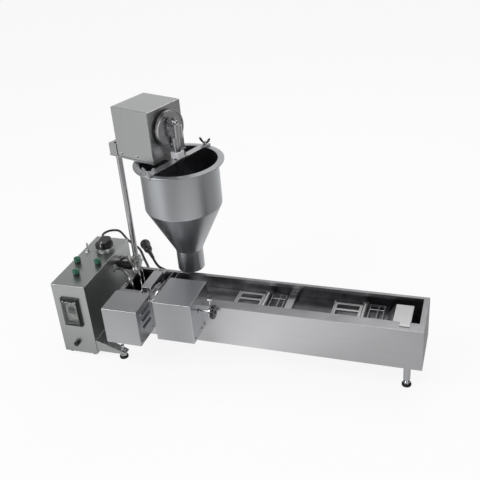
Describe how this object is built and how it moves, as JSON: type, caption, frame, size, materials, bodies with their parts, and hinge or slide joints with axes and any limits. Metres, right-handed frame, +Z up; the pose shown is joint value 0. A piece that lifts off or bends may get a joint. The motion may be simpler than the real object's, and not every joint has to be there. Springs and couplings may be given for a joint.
{
  "type": "donut fryer",
  "caption": "Long oil tank on feet with paddle and flippers, a control box at one end and a hopper with a crank-driven plunger on a swinging column.",
  "frame": {"origin": "on the floor, in the middle of the plan of the machine without its mains cord", "axes": "+Z up, +X from the control box to the outlet end, -Y towards the operator"},
  "size_m": [1.2916, 0.7956, 0.713],
  "materials": {
    "tank_steel": "brushed sheet, number 4 grain along the tank",
    "cover_steel": "brushed sheet, satin",
    "hopper_steel": "spun and brushed, satin",
    "bright_steel": "ground and polished bar",
    "zinc_screws": "bright plated",
    "dark_cast": "painted motor casting",
    "black_rubber": "moulded, matt",
    "black_phenolic": "moulded, half gloss",
    "green_plastic": "moulded, glossy",
    "white_plastic": "moulded, satin",
    "clear_plastic": "clear sheet",
    "nylon_block": "machined",
    "cord_sheath": "extruded, matt",
    "heater_steel": "drawn tube, heat tinted"
  },
  "bodies": {
    "frame": {"tank_shell": "tank_steel", "flow_deck": "tank_steel", "weir_plate": "tank_steel", "out_ramp": "tank_steel", "landing_racks": "bright_steel", "foot_stems": "zinc_screws", "foot_pads": "black_rubber", "foot_bracket": "cover_steel", "control_box": "cover_steel", "control_back": "cover_steel", "breaker_bezel": "black_phenolic", "breaker_body": "white_plastic", "button_collars": "black_phenolic", "toggle_collar": "zinc_screws", "dial_plate": "bright_steel", "thermostat": "dark_cast", "heater_element": "heater_steel", "heater_glands": "cover_steel", "cable_sleeve": "black_rubber", "column": "bright_steel", "column_socket": "cover_steel", "frame_screws": "zinc_screws", "motor_cover": "cover_steel", "paddle_motor": "dark_cast", "flip_cover": "cover_steel", "flip_gearmotor": "dark_cast", "paddle_guard": "tank_steel", "guide_plates": "tank_steel", "link_conduit": "bright_steel", "cord_gland": "black_rubber", "mains_cord_out": "cord_sheath", "mains_coil": "cord_sheath", "mains_cord_back": "cord_sheath", "mains_plug": "black_phenolic"},
    "head": {"head_plate": "cover_steel", "head_cover": "cover_steel", "head_gearmotor": "dark_cast", "guide_block": "nylon_block", "crossbar": "bright_steel", "hopper": "hopper_steel", "head_screws": "zinc_screws"},
    "crank": {"crank_disc": "bright_steel"},
    "plunger_body": {"plunger": "bright_steel", "con_rod": "bright_steel"},
    "wing_front": {"wing_bolt_front": "zinc_screws"},
    "wing_back": {"wing_bolt_back": "zinc_screws"},
    "paddle": {"paddle_wheel": "bright_steel"},
    "cam": {"cam_shaft": "bright_steel", "hand_wheel": "black_phenolic"},
    "rod": {"push_rod": "tank_steel"},
    "flip_1": {"flipper_1": "tank_steel"},
    "flip_2": {"flipper_2": "tank_steel"},
    "dial": {"dial_knob": "black_phenolic"},
    "toggle": {"toggle_lever": "zinc_screws"},
    "button_1": {"green_button_1": "green_plastic"},
    "button_2": {"green_button_2": "green_plastic"},
    "button_3": {"green_button_3": "green_plastic"},
    "fuse": {"fuse_cap": "black_phenolic"},
    "breaker": {"breaker_lever": "black_phenolic"},
    "flap": {"breaker_flap": "clear_plastic"}
  },
  "joints": [
    {"name": "head_swing", "type": "hinge", "parent": "frame", "child": "head", "pos_m": [-0.3565, 0.07242, 0.569], "axis": [0, 0, 1], "range_deg": [-19, 55]},
    {"name": "crank_turn", "type": "hinge", "parent": "head", "child": "crank", "pos_m": [-0.19389, 0.07622, 0.651], "axis": [0.9483, -0.3173, 0], "range_deg": [0, 180]},
    {"name": "plunger_slide", "type": "slide", "parent": "head", "child": "plunger_body", "axis": [0, 0, 1], "range_m": [-0.04, 0]},
    {"name": "wing_front_turn", "type": "hinge", "parent": "head", "child": "wing_front", "pos_m": [-0.20935, -0.04436, 0.565], "axis": [0, 0, 1], "continuous": true},
    {"name": "wing_back_turn", "type": "hinge", "parent": "head", "child": "wing_back", "pos_m": [-0.13367, 0.18182, 0.565], "axis": [0, 0, 1], "continuous": true},
    {"name": "paddle_turn", "type": "hinge", "parent": "frame", "child": "paddle", "pos_m": [-0.265, -0.01018, 0.165], "axis": [0, 1, 0], "continuous": true},
    {"name": "cam_turn", "type": "hinge", "parent": "frame", "child": "cam", "pos_m": [-0.08, -0.12218, 0.2], "axis": [1, 0, 0], "range_deg": [0, 180]},
    {"name": "rod_slide", "type": "slide", "parent": "frame", "child": "rod", "axis": [1, 0, 0], "range_m": [0, 0.01797]},
    {"name": "flipper_1_turn", "type": "hinge", "parent": "frame", "child": "flip_1", "pos_m": [0.076, -0.01018, 0.172], "axis": [0, 1, 0], "range_deg": [0, 150]},
    {"name": "flipper_2_turn", "type": "hinge", "parent": "frame", "child": "flip_2", "pos_m": [0.355, -0.01018, 0.172], "axis": [0, 1, 0], "range_deg": [0, 150]},
    {"name": "dial_turn", "type": "hinge", "parent": "frame", "child": "dial", "pos_m": [-0.4595, 0.07182, 0.259], "axis": [0, 0, 1], "range_deg": [0, 270]},
    {"name": "toggle_throw", "type": "hinge", "parent": "frame", "child": "toggle", "pos_m": [-0.5085, 0.04882, 0.25], "axis": [1, 0, 0], "range_deg": [0, 24]},
    {"name": "button_1_press", "type": "slide", "parent": "frame", "child": "button_1", "axis": [0, 0, 1], "range_m": [-0.003, 0], "stiffness_N_per_m": 400, "springref_m": 0.001},
    {"name": "button_2_press", "type": "slide", "parent": "frame", "child": "button_2", "axis": [0, 0, 1], "range_m": [-0.003, 0], "stiffness_N_per_m": 400, "springref_m": 0.001},
    {"name": "button_3_press", "type": "slide", "parent": "frame", "child": "button_3", "axis": [0, 0, 1], "range_m": [-0.003, 0], "stiffness_N_per_m": 400, "springref_m": 0.001},
    {"name": "fuse_turn", "type": "hinge", "parent": "frame", "child": "fuse", "pos_m": [-0.476, -0.15018, 0.044], "axis": [0, 1, 0], "range_deg": [0, 90]},
    {"name": "breaker_throw", "type": "hinge", "parent": "frame", "child": "breaker", "pos_m": [-0.472, -0.14018, 0.1595], "axis": [1, 0, 0], "range_deg": [0, 50]},
    {"name": "flap_lift", "type": "hinge", "parent": "frame", "child": "flap", "pos_m": [-0.472, -0.15558, 0.194], "axis": [-1, 0, 0], "range_deg": [0, 110]}
  ],
  "couplings": [
    {"joint": "crank_turn", "follows": "plunger_slide", "rad_per_m": -78.54},
    {"joint": "cam_turn", "follows": "rod_slide", "rad_per_m": 174.86},
    {"joint": "flipper_1_turn", "follows": "rod_slide", "rad_per_m": 145.72},
    {"joint": "flipper_2_turn", "follows": "rod_slide", "rad_per_m": 145.72}
  ]
}
